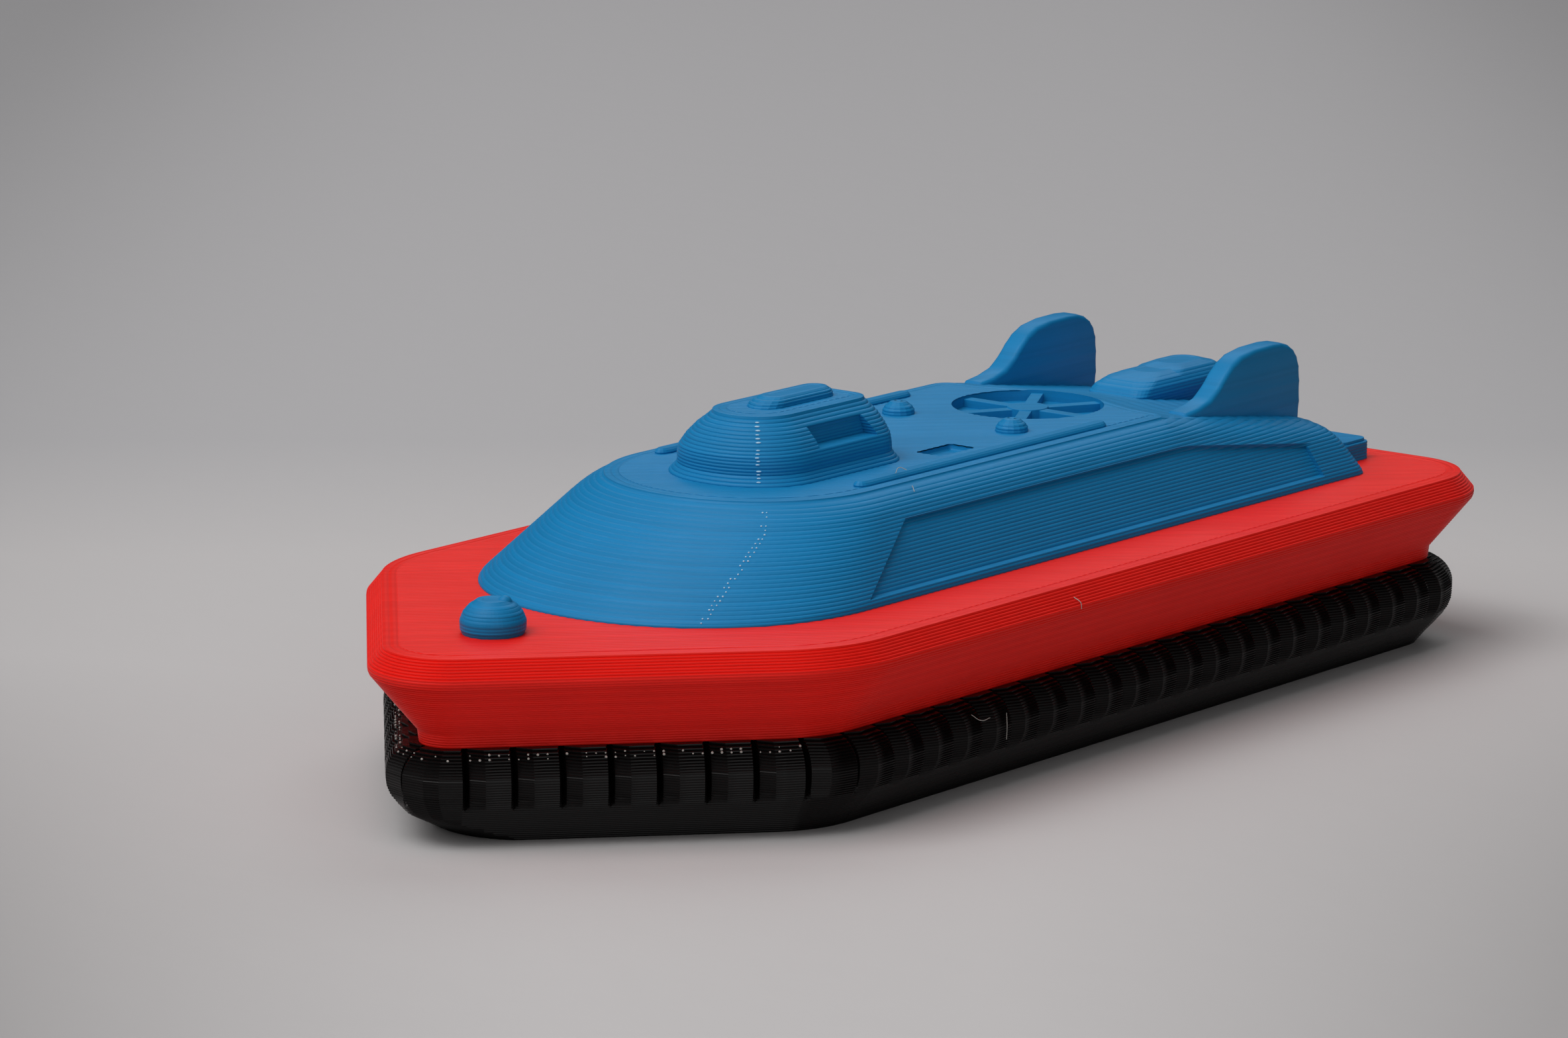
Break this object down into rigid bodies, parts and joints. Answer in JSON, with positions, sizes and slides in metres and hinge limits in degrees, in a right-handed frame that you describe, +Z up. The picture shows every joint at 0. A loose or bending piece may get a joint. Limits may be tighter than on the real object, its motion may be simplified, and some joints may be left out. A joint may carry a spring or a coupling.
{
  "type": "toy hovercraft",
  "caption": "Small printed toy hovercraft: black fingered skirt, red pointed hull, blue superstructure with wheelhouse, rails, fan ring, engine housing and fins.",
  "frame": {"origin": "under the middle of the toy's box, on the surface that the flat underside of the skirt stands on", "axes": "+Z up, -Y towards the bow, +X towards port"},
  "size_m": [0.038, 0.086, 0.0216],
  "materials": {
    "black_print": "printed, satin black",
    "red_print": "printed, glossy red",
    "blue_print": "printed, glossy blue"
  },
  "bodies": {
    "root": {"skirt": "black_print", "hull": "red_print", "superstructure": "blue_print", "wheelhouse": "blue_print", "roof_hatch": "blue_print", "rail_port": "blue_print", "rail_starboard": "blue_print", "vent_port": "blue_print", "vent_starboard": "blue_print", "fan_hub": "blue_print", "fin_port": "blue_print", "fin_starboard": "blue_print", "engine_base": "blue_print", "engine_cowl": "blue_print", "stern_bar": "blue_print", "bow_knob": "blue_print"}
  },
  "joints": []
}
